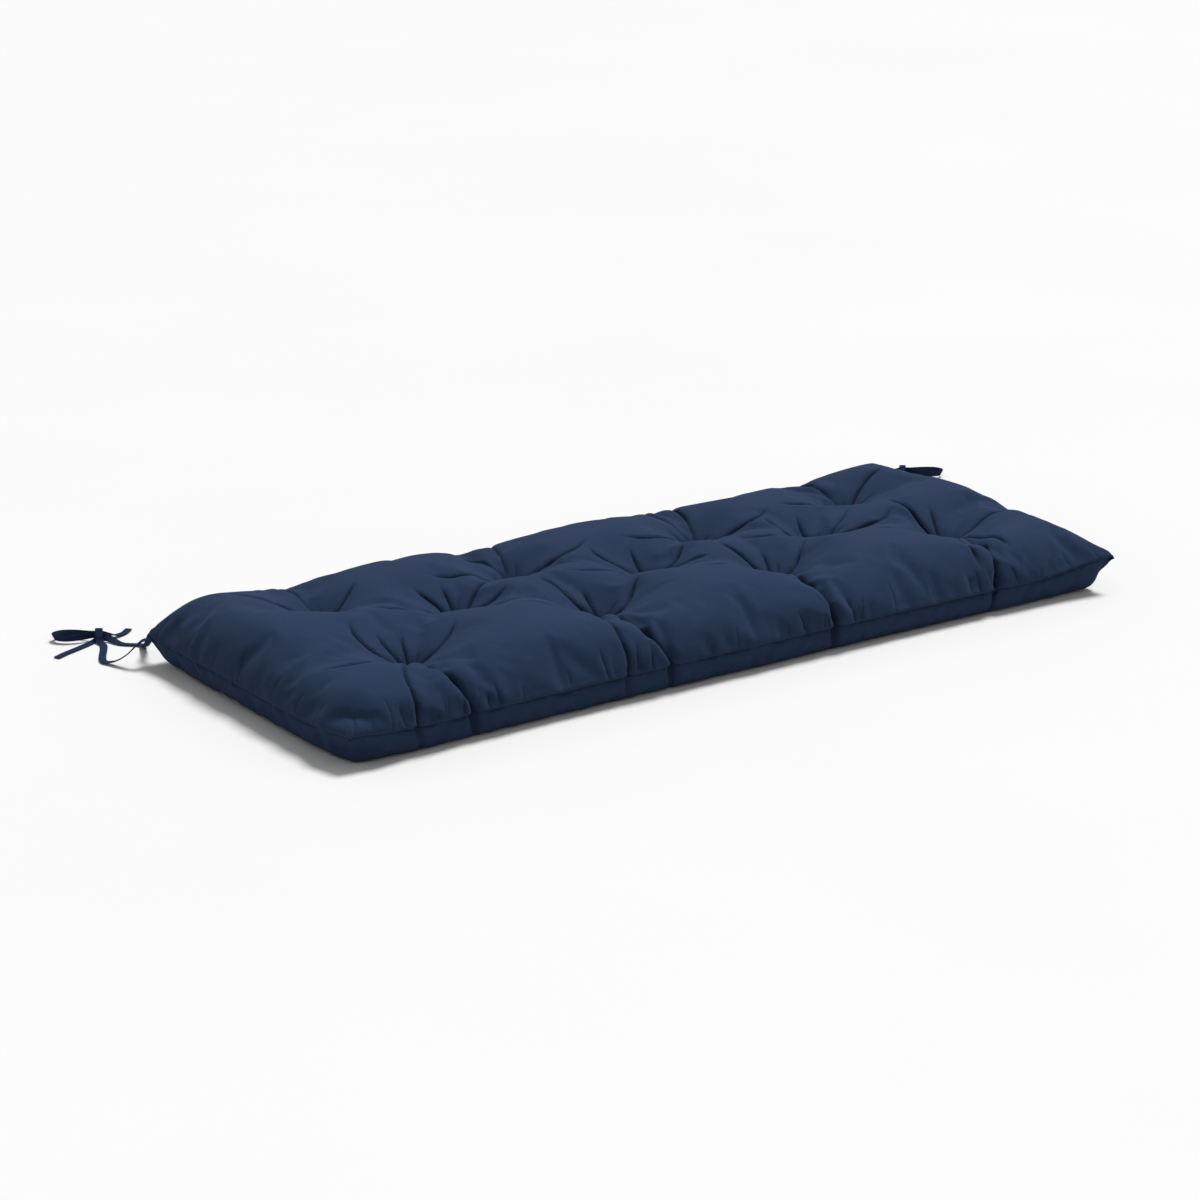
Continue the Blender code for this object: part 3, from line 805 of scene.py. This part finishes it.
def distance_to_path(u, v, path):
    """Each point's distance from a path, the share of the way along it of the nearest place, and its side."""
    nearest = np.full_like(u, np.inf)
    along = np.zeros_like(u)
    side = np.ones_like(u)
    pieces = len(path) - 1
    for k in range(pieces):
        start, run = path[k], path[k + 1] - path[k]
        share = ((u - start[0]) * run[0] + (v - start[1]) * run[1]) / (run @ run)
        share = np.clip(share, 0.0, 1.0)
        far = np.hypot(u - start[0] - share * run[0], v - start[1] - share * run[1])
        closer = far < nearest
        nearest = np.where(closer, far, nearest)
        along = np.where(closer, (k + share) / pieces, along)
        turned = run[0] * (v - start[1]) - run[1] * (u - start[0])
        side = np.where(closer, np.where(turned < 0.0, -1.0, 1.0), side)
    return nearest, along, side


def outward(points):
    """Unit normals of a grid of points, from its own lines."""
    along_u = np.gradient(points, axis=0)
    along_v = np.gradient(points, axis=1)
    return unit(np.cross(along_u, along_v))


def crown_height(x, y):
    """Height of the filled top above the seam, before the tufts pull it in."""
    height = np.full_like(x, CROWN - SEAM_HEIGHT)
    for puff_x, puff_y, extra, reach in PUFFS:
        height += extra * np.exp(-((x - puff_x) ** 2 + (y - puff_y) ** 2) / reach**2)
    for side_x, side_y, _, missing, _ in CORNERS:
        height *= 1.0 - missing * near_corner(x, y, side_x, side_y, CORNER_REACH)
    return height


def outline_pull(x, y, rise):
    """The sides draw in between the corners, and the filling rounds off above and below each corner."""
    along_x = np.clip(np.abs(x) / (LENGTH / 2.0), 0.0, 1.0)
    along_y = np.clip(np.abs(y) / (DEPTH / 2.0), 0.0, 1.0)
    side = SIDE_PULL * (1.0 - along_x**SIDE_BOW) * along_y**SIDE_EASE
    pull = np.where(x < 0.0, LEFT_END_PULL, RIGHT_END_PULL)
    end = pull * (1.0 - along_y**END_BOW) * along_x**END_EASE
    drawn_x, drawn_y = x - np.sign(x) * end, y - np.sign(y) * side
    for side_x, side_y, _, _, tip in CORNERS:
        rounded = CORNER_ROUND * near_corner(x, y, side_x, side_y, CORNER_REACH) * smooth_step(2.0 * rise)
        rounded = rounded + tip * near_corner(x, y, side_x, side_y, TIP_REACH)
        drawn_x = drawn_x - side_x * rounded
        drawn_y = drawn_y - side_y * rounded
    return drawn_x, drawn_y


def panel_grid(columns, rows, top):
    """A panel's lengths along the cloth from its middle, and its points, as grids of columns by rows."""
    reach, arc = (TOP_REACH, TOP_ARC) if top else (UNDER_REACH, UNDER_ARC)
    half_u, half_v = LENGTH / 2.0 - reach + arc, DEPTH / 2.0 - reach + arc
    lengths = np.linspace(-half_u, half_u, columns + 1), np.linspace(-half_v, half_v, rows + 1)
    u, v = np.meshgrid(*lengths, indexing="ij")
    inset_x, rise_x = edge_curve(half_u - np.abs(u), reach, arc)
    inset_y, rise_y = edge_curve(half_v - np.abs(v), reach, arc)
    x = np.sign(u) * (LENGTH / 2.0 - inset_x)
    y = np.sign(v) * (DEPTH / 2.0 - inset_y)
    slack = np.maximum(rise_x, TINY) ** -FULLNESS + np.maximum(rise_y, TINY) ** -FULLNESS - 1.0
    rise = slack ** (-1.0 / FULLNESS)
    seam = seam_height(x, y)
    if top:
        height = crown_height(x, y) - tuft_pull(x, y, TUFT_DEPTH, TUFT_SPREAD)
        z = seam + height * rise
    else:
        dip = tuft_pull(x, y, UNDER_TUFT_DEPTH, UNDER_TUFT_SPREAD)
        z = seam * (1.0 - rise) + dip * rise
    x, y = outline_pull(x, y, rise)
    return np.stack([u, v], axis=-1), np.stack([x, y, z], axis=-1)


def follow_rim(under, top, rim_rows):
    """Draw the under panel in wherever the folds draw the seam in, less and less towards where it rests."""
    shifts = [top[edge] - under[edge] for edge in rows_from_seam(0)]
    moved = under.copy()
    for edge in rows_from_seam(0):
        moved[edge] = top[edge]
    for k in range(1, rim_rows):
        fade = (1.0 - k / rim_rows) ** 2
        for row, shift in zip(rows_from_seam(k), shifts):
            moved[row][1:-1] += shift[1:-1] * fade
    moved[..., 2] = np.maximum(moved[..., 2], 0.0)
    return moved


def cover_grids():
    """Sheet coordinates, top and under panel of the cover before it is filled."""
    columns = int(round((LENGTH + 2.0 * (TOP_ARC - TOP_REACH)) / CELL))
    rows = int(round((DEPTH + 2.0 * (TOP_ARC - TOP_REACH)) / CELL))
    sheet, top = panel_grid(columns, rows, True)
    _, under = panel_grid(columns, rows, False)
    return sheet, top, follow_rim(under, top, RIM_ROWS)


def panel_names(shape, corner_cells):
    """Vertex numbers of the top and under grids, which share the seam and come to one point at each tip."""
    columns, rows = shape[0] - 1, shape[1] - 1
    top = np.arange(shape[0] * shape[1]).reshape(shape[:2])
    under = top + top.size
    for edge in rows_from_seam(0):
        under[edge] = top[edge]
    near, past = corner_cells + 1, -corner_cells - 1
    for i, part in ((0, np.s_[:near]), (columns, np.s_[past:])):
        for j, other in ((0, np.s_[:near]), (rows, np.s_[past:])):
            under[part, other] = top[part, other] = top[i, j]
    return top, under


def cover_mesh(name, sheet, top, under, corner_cells, lines=None):
    """The closed cover as a mesh, with each vertex's number in the two grids laid end to end."""
    top_names, under_names = panel_names(top.shape, corner_cells)
    cells = []
    for names, turn in ((top_names, 1), (under_names, -1)):
        cell = np.stack([names[:-1, :-1], names[1:, :-1], names[1:, 1:], names[:-1, 1:]], axis=-1)
        cells.append(cell.reshape(-1, 4)[:, ::turn])
    cells = np.vstack(cells)
    kept = np.unique(cells)
    number = np.zeros(2 * top_names.size, int)
    number[kept] = np.arange(len(kept))
    faces = []
    for cell in cells.tolist():
        corners = [corner for k, corner in enumerate(cell) if corner != cell[k - 1]]
        if len(corners) > 2:
            faces.append([int(number[corner]) for corner in corners])
    points = np.concatenate([top.reshape(-1, 3), under.reshape(-1, 3)])[kept]
    data = bpy.data.meshes.new(name)
    data.from_pydata(points.tolist(), [], faces)
    write_map(data, "sheet", np.concatenate([sheet.reshape(-1, 2)] * 2)[kept])
    if lines is not None:
        write_map(data, "lines", np.concatenate([side.reshape(-1, 2) for side in lines])[kept])
    return data, kept


def hold_weights(points, sides):
    """How firmly each point of the cover is held while the filling swells."""
    hold = np.where(sides == 0.0, SEAM_HOLD, 0.0)
    deep = np.minimum(LENGTH / 2.0 - np.abs(points[:, 0]), DEPTH / 2.0 - np.abs(points[:, 1]))
    hold[(sides < 0.0) & ((points[:, 2] < FLAT_UNDER) | (deep > FLAT_INSET))] = 1.0
    top = sides > 0.0
    for tuft_x, tuft_y in TUFTS.values():
        near = top & (np.hypot(points[:, 0] - tuft_x, points[:, 1] - tuft_y) < TUFT_HOLD)
        hold = np.where(near, 1.0, hold)
    return hold


def swell(cover, points, hold):
    """Fill the cover: the cloth grows a little and is blown out between its stitches."""
    group = cover.vertex_groups.new(name="held")
    for k in np.nonzero(hold)[0]:
        group.add([int(k)], float(hold[k]), "REPLACE")
    cloth = cover.modifiers.new("cloth", "CLOTH")
    settings = cloth.settings
    settings.vertex_group_mass = group.name
    for name, value in CLOTH.items():
        setattr(settings, name, value)
    settings.effector_weights.gravity = 0.0
    cloth.point_cache.frame_start = 1
    cloth.point_cache.frame_end = FRAMES
    scene = bpy.context.scene
    for number in range(1, FRAMES + 1):
        scene.frame_set(number)
    filled = evaluated_mesh(cover)
    swollen = read_points(filled)
    bpy.data.meshes.remove(filled)
    cover.modifiers.clear()
    cover.vertex_groups.clear()
    scene.frame_set(1)
    moved = swollen - points
    far = np.linalg.norm(moved, axis=1, keepdims=True)
    moved *= np.minimum(1.0, MOST_MOVEMENT / np.maximum(far, TINY))
    swollen = points + moved
    swollen[:, 2] = np.maximum(swollen[:, 2], 0.0)
    return swollen


def spline_rows(count, finer):
    """Weights that read a smooth curve through count + 1 points at finer times as many steps."""
    places = np.arange(count * finer + 1) / finer
    first = np.minimum(places.astype(int), count - 1)
    t = places - first
    shares = np.stack([(1 - t) ** 3, 3 * t**3 - 6 * t**2 + 4, -3 * t**3 + 3 * t**2 + 3 * t + 1, t**3]) / 6
    rows = np.zeros((len(places), count + 3))
    for k in range(4):
        rows[np.arange(len(places)), first + k] += shares[k]
    weights = rows[:, 1:-1].copy()
    weights[:, 0] += 2 * rows[:, 0]
    weights[:, 1] -= rows[:, 0]
    weights[:, -1] += 2 * rows[:, -1]
    weights[:, -2] -= rows[:, -1]
    return weights


def finer_grid(grid, finer):
    across = spline_rows(grid.shape[0] - 1, finer)
    along = spline_rows(grid.shape[1] - 1, finer)
    return np.einsum("ai,ijk,bj->abk", across, grid, along, optimize=True)


def read_grid(grid, sheet, places):
    """The points of a grid at rows of sheet coordinates, read straight between its lines."""
    low, high = sheet[0, 0], sheet[-1, -1]
    steps = np.array(grid.shape[:2]) - 1
    at = np.clip((places - low) / (high - low), 0.0, 1.0) * steps
    first = np.minimum(at.astype(int), steps - 1)
    i, j = first[:, 0], first[:, 1]
    s, t = (at - first).T[..., None]
    near = grid[i, j] * (1 - t) + grid[i, j + 1] * t
    far = grid[i + 1, j] * (1 - t) + grid[i + 1, j + 1] * t
    return near * (1 - s) + far * s


def arc_path(start, heading, length, bend, steps):
    at = np.array(start, float)
    points = [at]
    for step in range(steps):
        turn = math.radians(heading + bend * (step + 0.5) / steps)
        at = at + length / steps * np.array([math.cos(turn), math.sin(turn)])
        points.append(at)
    return np.array(points)


def near_path(sheet, path, margin):
    """The part of a grid that is near a path, or nothing where the path misses it."""
    low, high = path.min(axis=0) - margin, path.max(axis=0) + margin
    i = np.nonzero((sheet[:, 0, 0] >= low[0]) & (sheet[:, 0, 0] <= high[0]))[0]
    j = np.nonzero((sheet[0, :, 1] >= low[1]) & (sheet[0, :, 1] <= high[1]))[0]
    if len(i) < 3 or len(j) < 3:
        return None
    return np.s_[i[0] : i[-1] + 1, j[0] : j[-1] + 1]


def blank_lines(grid):
    """An empty map of the painted shade along fold lines: each point's distance from the nearest, in
    LINE_REACH, and its boldness.
    """
    lines = np.zeros(grid.shape[:2] + (2,))
    lines[..., 0] = 1.0
    return lines


def press_creases(top, sheet, creases):
    """Press creases into the top, which draw their sides together and sink to a sharp valley.

    The map of their lines, which sets the painted shade along their bottoms, comes back.
    """
    normal = outward(top)
    left = np.array([-1.0, 0.0, 0.0])
    left = left - normal * normal[..., :1] * left[0]
    joined = np.zeros(top.shape[:2])
    leaning = np.zeros(top.shape[:2])
    lines = blank_lines(top)
    boldest = np.zeros(top.shape[:2])
    for path, depth, width, pinch, lean, open_end in creases:
        part = near_path(sheet, path, CREASE_MARGIN * width)
        if part is None:
            continue
        far, along, side = distance_to_path(sheet[part][..., 0], sheet[part][..., 1], path)
        length = lengths_along(path)[-1]
        strength = smooth_step((along * length + CREASE_LEAD * CREASE_START) / CREASE_START)
        if open_end:
            strength = strength * (TOP_SHARE + (1.0 - TOP_SHARE) * along**OPEN_POWER)
        else:
            strength = strength * smooth_step((1.0 - along) / CREASE_FADE)
        line = read_grid(top, sheet, path)
        at = along * (len(path) - 1)
        first = np.minimum(at.astype(int), len(path) - 2)
        share = (at - first)[..., None]
        toward = line[first] * (1 - share) + line[first + 1] * share - top[part]
        flat = normal[part]
        toward = toward - flat * np.sum(toward * flat, axis=-1, keepdims=True)
        top[part] += toward * (pinch * strength * np.exp(-((far / (PINCH_REACH * width)) ** 2)))[..., None]
        away = np.hypot(far, CREASE_BLUNT)
        inside = np.clip(1.0 - away / width, 0.0, 1.0)
        valley = (1.0 - LINE_SHARE) * (1.0 - np.sqrt(1.0 - inside**2))
        drop = depth * strength * (valley + LINE_SHARE * np.exp(-away / LINE_WIDTH))
        joined[part] += drop**CREASE_JOIN
        leaning[part] = np.maximum(leaning[part], lean * drop)
        # Painted shade: how bold the dark line painted along this crease's bottom is
        bold = strength * min(depth / PAINTED_LINE_DEPTH, 1.0) * smooth_step((LINE_REACH - far) / LINE_FADE)
        score = bold * np.exp(-far / PAINTED_LINE_WIDTH)
        bolder = score > boldest[part]
        boldest[part] = np.where(bolder, score, boldest[part])
        here = np.stack([far * side / LINE_REACH, bold], axis=-1)
        lines[part] = np.where(bolder[..., None], here, lines[part])
    top -= normal * joined[..., None] ** (1.0 / CREASE_JOIN)
    top += left * leaning[..., None]
    return lines


def main_creases():
    return [(path, *FOLD_KINDS[kind]) for kind, path in fold_paths()]


def tuft_creases(chance):
    """A fan of small creases around every tuft."""
    creases = []
    for tuft_x, tuft_y in TUFTS.values():
        for k in range(FAN_COUNT):
            heading = 360.0 * (k + chance.uniform(-FAN_JITTER, FAN_JITTER)) / FAN_COUNT
            length = chance.uniform(*FAN_LENGTH)
            bend = chance.uniform(-FAN_BEND, FAN_BEND)
            path = arc_path((tuft_x, tuft_y), heading, length, bend, FAN_STEPS)
            depth, width = chance.uniform(*FAN_DEPTH), chance.uniform(*FAN_WIDTH)
            creases.append((path, depth, width, FAN_PINCH, 0.0, False))
    return creases


def pucker(chance, half, across, sign, place, strength):
    """One pucker from the seam inwards, at a place along one side of the sheet."""
    length = chance.uniform(*PUCKER_LENGTH)
    tilt = chance.uniform(-PUCKER_TILT, PUCKER_TILT)
    if across:
        start, heading = (sign * half[0], place), (180.0 if sign > 0 else 0.0) + tilt
    else:
        start, heading = (place, sign * half[1]), (270.0 if sign > 0 else 90.0) + tilt
    path = arc_path(start, heading, length, chance.uniform(-PUCKER_BEND, PUCKER_BEND), PUCKER_STEPS)
    depth = strength * chance.uniform(*PUCKER_DEPTH)
    return path, depth, chance.uniform(*PUCKER_WIDTH), PUCKER_PINCH, 0.0, False


def seam_creases(chance, half):
    """The puckers along the seam."""
    creases = []
    for kind, path in fold_paths():
        end = path[-1]
        if not FOLD_KINDS[kind][-1] or abs(end[1]) < half[1] - NEAR_SEAM:
            continue
        for _ in range(PUCKERS_BY_FOLD):
            place = end[0] + chance.uniform(-PUCKER_SPREAD, PUCKER_SPREAD)
            creases.append(pucker(chance, half, False, math.copysign(1.0, end[1]), place, 1.0))
    for across in (False, True):
        reach = half[1 if across else 0] - CORNER_GAP
        for sign in (-1.0, 1.0):
            place = -reach
            while place < reach:
                creases.append(pucker(chance, half, across, sign, place, SPARSE_SHARE))
                place += chance.uniform(*PUCKER_STEP)
    return creases


def seam_valley(grid):
    """Draw the seam itself in, and the rows of cloth beside it towards it."""
    normal = outward(grid)
    for side, edge in enumerate(rows_from_seam(0)):
        seam = grid[edge].copy()
        for row, share, out in SEAM_ROWS:
            beside = rows_from_seam(row)[side]
            grid[beside] += (seam - grid[beside]) * share + normal[beside] * out
    for edge in rows_from_seam(0):
        grid[edge] -= normal[edge] * SEAM_VALLEY


def thread_mesh(name, strands, radius):
    """Round threads, each along its own few points."""
    points = []
    faces = []
    turn = np.arange(THREAD_SIDES) * 2.0 * math.pi / THREAD_SIDES
    for line, up in strands:
        run = unit(np.gradient(line, axis=0))
        side = unit(np.cross(run, up))
        over = np.cross(side, run)
        rings = line[:, None] + radius * (
            np.cos(turn)[None, :, None] * side[:, None] + np.sin(turn)[None, :, None] * over[:, None]
        )
        faces.extend(face[::-1] for face in tube_faces(len(points), len(line), THREAD_SIDES))
        points.extend(rings.reshape(-1, 3).tolist())
    data = bpy.data.meshes.new(name)
    data.from_pydata(points, [], faces)
    data.shade_smooth()
    return data


def seam_strands(top):
    """Short stitches along the valley of the seam, all the way round."""
    way_round = (np.s_[:-1, 0], np.s_[-1, :-1], np.s_[:0:-1, -1], np.s_[0, :0:-1])
    seam, away = (np.concatenate([grid[edge] for edge in way_round]) for grid in (top, outward(top)))
    away[:, 2] = 0.0
    around = np.hstack([seam, unit(away)])
    around = np.vstack([around, around[:1]])
    along = lengths_along(around[:, :3])
    share, dip = np.array(STITCH_SHAPE).T
    rise = STITCH_RISE - STITCH_DIP * dip
    strands = []
    for start in np.arange(0.0, along[-1] - STITCH_PITCH, STITCH_PITCH):
        rows = rows_at(start + STITCH_LENGTH * share, along, around)
        strands.append((rows[:, :3] + rows[:, 3:] * rise[:, None], np.array([0.0, 0.0, 1.0])))
    return strands


def tuft_strands(top, sheet):
    """A few strands of thread across the bottom of every tuft."""
    strands = []
    share, rise = np.array(STRAND_SHAPE).T
    for tuft_x, tuft_y in TUFTS.values():
        for across, half, height in STRANDS:
            places = np.array([[tuft_x + side * half, tuft_y + across] for side in share])
            line = read_grid(top, sheet, places)
            middle = 0.5 * (line[:1] + line[-1:])
            line[1:-1] = middle + (line[-1:] - line[:1]) * 0.5 * share[1:-1, None]
            line[:, 2] += height * rise
            strands.append((line, np.array([0.0, 1.0, 0.0])))
    return strands


def read_points(data):
    numbers = np.zeros(len(data.vertices) * 3)
    data.vertices.foreach_get("co", numbers)
    return numbers.reshape(-1, 3)


def fill_cover(sheet, top, under):
    """The two panels after the filling has swollen them."""
    data, kept = cover_mesh("slack_cover", sheet, top, under, 1)
    size = top.shape[0] * top.shape[1]
    top_names, under_names = panel_names(top.shape, 1)
    rim = np.concatenate([top_names[edge] for edge in rows_from_seam(0)])
    sides = np.where(kept < size, 1.0, -1.0)
    sides[np.isin(kept, rim)] = 0.0
    cover = new_object("slack_cover", data)
    points = read_points(data)
    points = swell(cover, points, hold_weights(points, sides))
    bpy.data.objects.remove(cover)
    bpy.data.meshes.remove(data)
    both = np.zeros((2 * size, 3))
    both[kept] = points
    return both[top_names], both[under_names]


def close_corners(top, under):
    """Close the cover to a point at each corner, over the last rows of cells."""
    columns, rows = top.shape[0] - 1, top.shape[1] - 1
    for end in (0, columns):
        for edge in (0, rows):
            off_u = np.abs(np.arange(columns + 1) - end)[:, None]
            off_v = np.abs(np.arange(rows + 1) - edge)[None, :]
            share = smooth_step(2.0 - np.hypot(off_u, off_v) / FINE)
            beside_u = FINE if end == 0 else columns - FINE
            beside_v = FINE if edge == 0 else rows - FINE
            tip = 0.5 * (top[beside_u, edge, 2] + top[end, beside_v, 2])
            for grid in (top, under):
                grid[..., 2] += (tip - grid[..., 2]) * share


def fine_cover(sheet, top, under):
    """The filled panels on a finer grid, with every crease pressed in."""
    fine_sheet = finer_grid(sheet, FINE)
    fine_top, fine_under = finer_grid(top, FINE), finer_grid(under, FINE)
    chance = np.random.default_rng(SEED)
    small = seam_creases(chance, fine_sheet[-1, -1]) + tuft_creases(chance)
    top_lines = press_creases(fine_top, fine_sheet, small + main_creases())
    under_lines = blank_lines(fine_under)
    # Painted shade along the seam valley, on the rows nearest the seam of both panels
    for grid in (top_lines, under_lines):
        for row, bold in SEAM_SHADE_ROWS:
            for edge in rows_from_seam(row):
                grid[edge] = (row * CELL / FINE / LINE_REACH, bold)
    seam_valley(fine_top)
    fine_under = follow_rim(fine_under, fine_top, RIM_ROWS * FINE)
    close_corners(fine_top, fine_under)
    for grid in (fine_top, fine_under):
        grid[..., 2] = np.maximum(grid[..., 2], 0.0)
    return fine_sheet, fine_top, fine_under, (top_lines, under_lines)


def thinned(data, triangles):
    """The mesh with fewer faces where it is nearly flat."""
    dense = new_object("dense_cover", data)
    modifier = dense.modifiers.new("thin", "DECIMATE")
    modifier.ratio = triangles / (2.0 * len(data.polygons))
    thin = evaluated_mesh(dense)
    bpy.data.objects.remove(dense)
    bpy.data.meshes.remove(data)
    return thin


def add_cushion(material):
    sheet, top, under = cover_grids()
    top, under = fill_cover(sheet, top, under)
    sheet, top, under, lines = fine_cover(sheet, top, under)
    thread = thread_material()
    add_piece("seam_stitches", thread_mesh("seam_stitches", seam_strands(top), STITCH_RADIUS), thread)
    add_piece("tuft_stitches", thread_mesh("tuft_stitches", tuft_strands(top, sheet), STRAND_RADIUS), thread)
    data, _ = cover_mesh("dense_cover", sheet, top, under, FINE, lines)
    data = thinned(data, TRIANGLES)
    data.name = "cushion_cover"
    cover = add_piece("cushion_cover", data, material)
    data.shade_smooth()
    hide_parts("cushion")


def add_floor():
    bpy.ops.mesh.primitive_plane_add(size=FLOOR_SIZE, location=(0.0, 0.0, -FLOOR_DROP))
    floor = bpy.context.object
    floor.name = "floor"
    floor.data.materials.append(floor_material())


def add_lights():
    world = bpy.data.worlds.new("studio")
    bpy.context.scene.world = world
    world.use_nodes = True
    tree = world.node_tree
    feed(tree, tree.nodes["Background"], {"Color": (1.0, 1.0, 1.0, 1.0), "Strength": AMBIENT})
    data = bpy.data.lights.new("key", "SUN")
    data.energy = KEY_STRENGTH
    data.angle = math.radians(KEY_SOFTNESS)
    key = new_object("key", data)
    key.rotation_euler = (-Vector(KEY_FROM)).to_track_quat("-Z", "Y").to_euler()
    bpy.context.scene.view_settings.view_transform = "Standard"


def main():
    add_camera()
    add_ties(cloth_material("navy_tape", TAPE_NAVY, TAPE_NAVY_DEEP, TAPE_SHEEN))
    add_cushion(cloth_material("navy_cotton", NAVY, NAVY_DEEP, COTTON_SHEEN, PAINTED_LINE_SHADE))
    add_floor()
    add_lights()


main()
